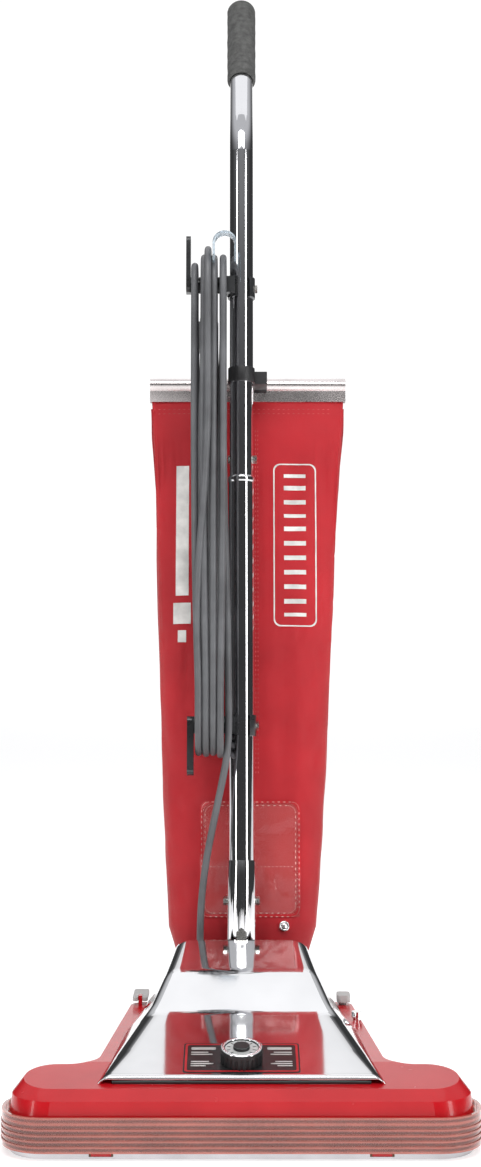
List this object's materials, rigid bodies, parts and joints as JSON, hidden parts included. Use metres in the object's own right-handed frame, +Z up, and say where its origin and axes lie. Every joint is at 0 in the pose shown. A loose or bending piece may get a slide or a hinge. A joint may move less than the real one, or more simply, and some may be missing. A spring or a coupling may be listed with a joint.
{
  "type": "upright vacuum cleaner",
  "caption": "Wide commercial upright vacuum with a chrome hood, clear bumper, red cloth bag on a slide-off channel, bent tube handle and a cord wound on two hooks.",
  "frame": {"origin": "on the floor, under the middle of the machine", "axes": "+Z up, -Y towards the nozzle's front, +X to the right seen from the front"},
  "size_m": [0.44, 0.5592, 1.2011],
  "materials": {
    "housing_paint": "gloss",
    "clear_vinyl": "smooth",
    "chrome": "mirror",
    "tube_chrome": "mirror",
    "label_black": "gloss",
    "black_plastic": "matte",
    "dial_pale": "satin",
    "zinc_steel": "satin",
    "zinc_bolts": "satin",
    "steel_dark": "satin",
    "grey_plastic": "satin",
    "hook_grey": "satin",
    "cord_grey": "satin",
    "plug_grey": "satin",
    "brass": "polished",
    "copper": "satin",
    "carbon": "matte",
    "belt_rubber": "matte",
    "foam_grip": "matte",
    "tyre_black": "matte",
    "roll_wood": "satin",
    "bristle": "coarse",
    "bag_cloth": "sheen",
    "sleeve_cloth": "sheen",
    "clip_clear": "smooth",
    "grey_terminal": "matte"
  },
  "bodies": {
    "base": {"nozzle_housing": "housing_paint", "bumper": "clear_vinyl", "sole_plate": "chrome", "motor_hood": "chrome", "label_plate": "label_black", "thumb_screw": "chrome", "rear_cover": "black_plastic", "motor_bed": "zinc_steel", "bail_brackets": "zinc_steel", "pivot_pins": "zinc_bolts", "rear_axles": "zinc_bolts", "fan_housing": "steel_dark", "intake_duct": "black_plastic", "motor_frame": "zinc_steel", "motor_field": "copper", "motor_bearings": "steel_dark", "carbon_brushes": "carbon", "exhaust_duct": "black_plastic", "neck_clamp": "zinc_bolts", "terminal_box": "grey_terminal", "cord_gland": "plug_grey", "roll_bearings": "black_plastic", "bag_sleeve": "sleeve_cloth", "drive_belt": "belt_rubber", "cord_lower": "cord_grey"},
    "rotor": {"motor_shaft": "steel_dark", "armature": "steel_dark", "commutator": "brass", "fan": "grey_plastic", "motor_pulley": "steel_dark"},
    "brush_roll": {"brush_core": "roll_wood", "bristle_strips": "bristle"},
    "rear_wheel_l": {"rear_wheel_left": "tyre_black"},
    "rear_wheel_r": {"rear_wheel_right": "tyre_black"},
    "carriage": {"front_carriage": "zinc_steel"},
    "front_wheel_l": {"front_wheel_left": "tyre_black"},
    "front_wheel_r": {"front_wheel_right": "tyre_black"},
    "dial": {"dial_knob": "black_plastic", "dial_face": "dial_pale", "dial_cam": "grey_plastic"},
    "handle": {"bail_arm_left": "zinc_steel", "bail_arm_right": "zinc_steel", "handle_socket": "hook_grey", "handle_bolts": "zinc_bolts", "lower_tube": "tube_chrome", "upper_tube": "tube_chrome", "grip": "foam_grip", "upper_hook_base": "hook_grey", "lower_hook": "hook_grey", "hanger_bracket": "black_plastic", "bag_body": "bag_cloth", "cord_hank": "cord_grey", "cord_tail": "cord_grey", "plug_body": "plug_grey", "plug_pins": "brass", "cord_clip": "clip_clear"},
    "hook": {"upper_hook": "hook_grey"},
    "channel": {"bag_channel": "chrome"},
    "switch": {"foot_switch": "grey_plastic"},
    "pedal": {"release_pedal": "grey_plastic"}
  },
  "joints": [
    {"name": "handle_tilt", "type": "hinge", "parent": "base", "child": "handle", "pos_m": [0, 0.00243, 0.058], "axis": [-1, 0, 0], "range_deg": [0, 60], "deforming": ["cord_lower", "bag_sleeve"]},
    {"name": "motor_spin", "type": "hinge", "parent": "base", "child": "rotor", "pos_m": [0, -0.08357, 0.06], "axis": [0, 1, 0], "continuous": true},
    {"name": "brush_spin", "type": "hinge", "parent": "base", "child": "brush_roll", "pos_m": [0, -0.23157, 0.03], "axis": [1, 0, 0], "continuous": true},
    {"name": "rear_wheel_spin_left", "type": "hinge", "parent": "base", "child": "rear_wheel_l", "pos_m": [-0.095, 0.04443, 0.027], "axis": [1, 0, 0], "continuous": true},
    {"name": "rear_wheel_spin_right", "type": "hinge", "parent": "base", "child": "rear_wheel_r", "pos_m": [0.095, 0.04443, 0.027], "axis": [1, 0, 0], "continuous": true},
    {"name": "height_dial", "type": "hinge", "parent": "base", "child": "dial", "pos_m": [0, -0.21757, 0.07458], "axis": [0, -0.237, 0.9715], "range_deg": [0, 270]},
    {"name": "carriage_tilt", "type": "hinge", "parent": "base", "child": "carriage", "pos_m": [0, -0.18757, 0.03], "axis": [-1, 0, 0], "range_deg": [0, 7.26]},
    {"name": "front_wheel_spin_left", "type": "hinge", "parent": "carriage", "child": "front_wheel_l", "pos_m": [-0.06, -0.15357, 0.015], "axis": [1, 0, 0], "continuous": true},
    {"name": "front_wheel_spin_right", "type": "hinge", "parent": "carriage", "child": "front_wheel_r", "pos_m": [0.06, -0.15357, 0.015], "axis": [1, 0, 0], "continuous": true},
    {"name": "switch_press", "type": "slide", "parent": "base", "child": "switch", "axis": [0, 0, -1], "range_m": [0, 0.003], "stiffness_N_per_m": 800, "springref_m": -0.001},
    {"name": "release_press", "type": "hinge", "parent": "base", "child": "pedal", "pos_m": [-0.107, 0.06243, 0.074], "axis": [-1, 0, 0], "range_deg": [0, 12], "stiffness_Nm_per_rad": 0.6, "springref_deg": -5.73},
    {"name": "hook_swivel", "type": "hinge", "parent": "handle", "child": "hook", "pos_m": [-0.035, 0.09837, 0.84127], "axis": [1, 0, 0], "range_deg": [0, 180]},
    {"name": "bag_slide", "type": "slide", "parent": "handle", "child": "channel", "axis": [1, 0, 0], "range_m": [0, 0.22]}
  ],
  "couplings": [
    {"joint": "brush_spin", "follows": "motor_spin", "ratio": 0.59701},
    {"joint": "carriage_tilt", "follows": "height_dial", "ratio": 0.026889}
  ]
}
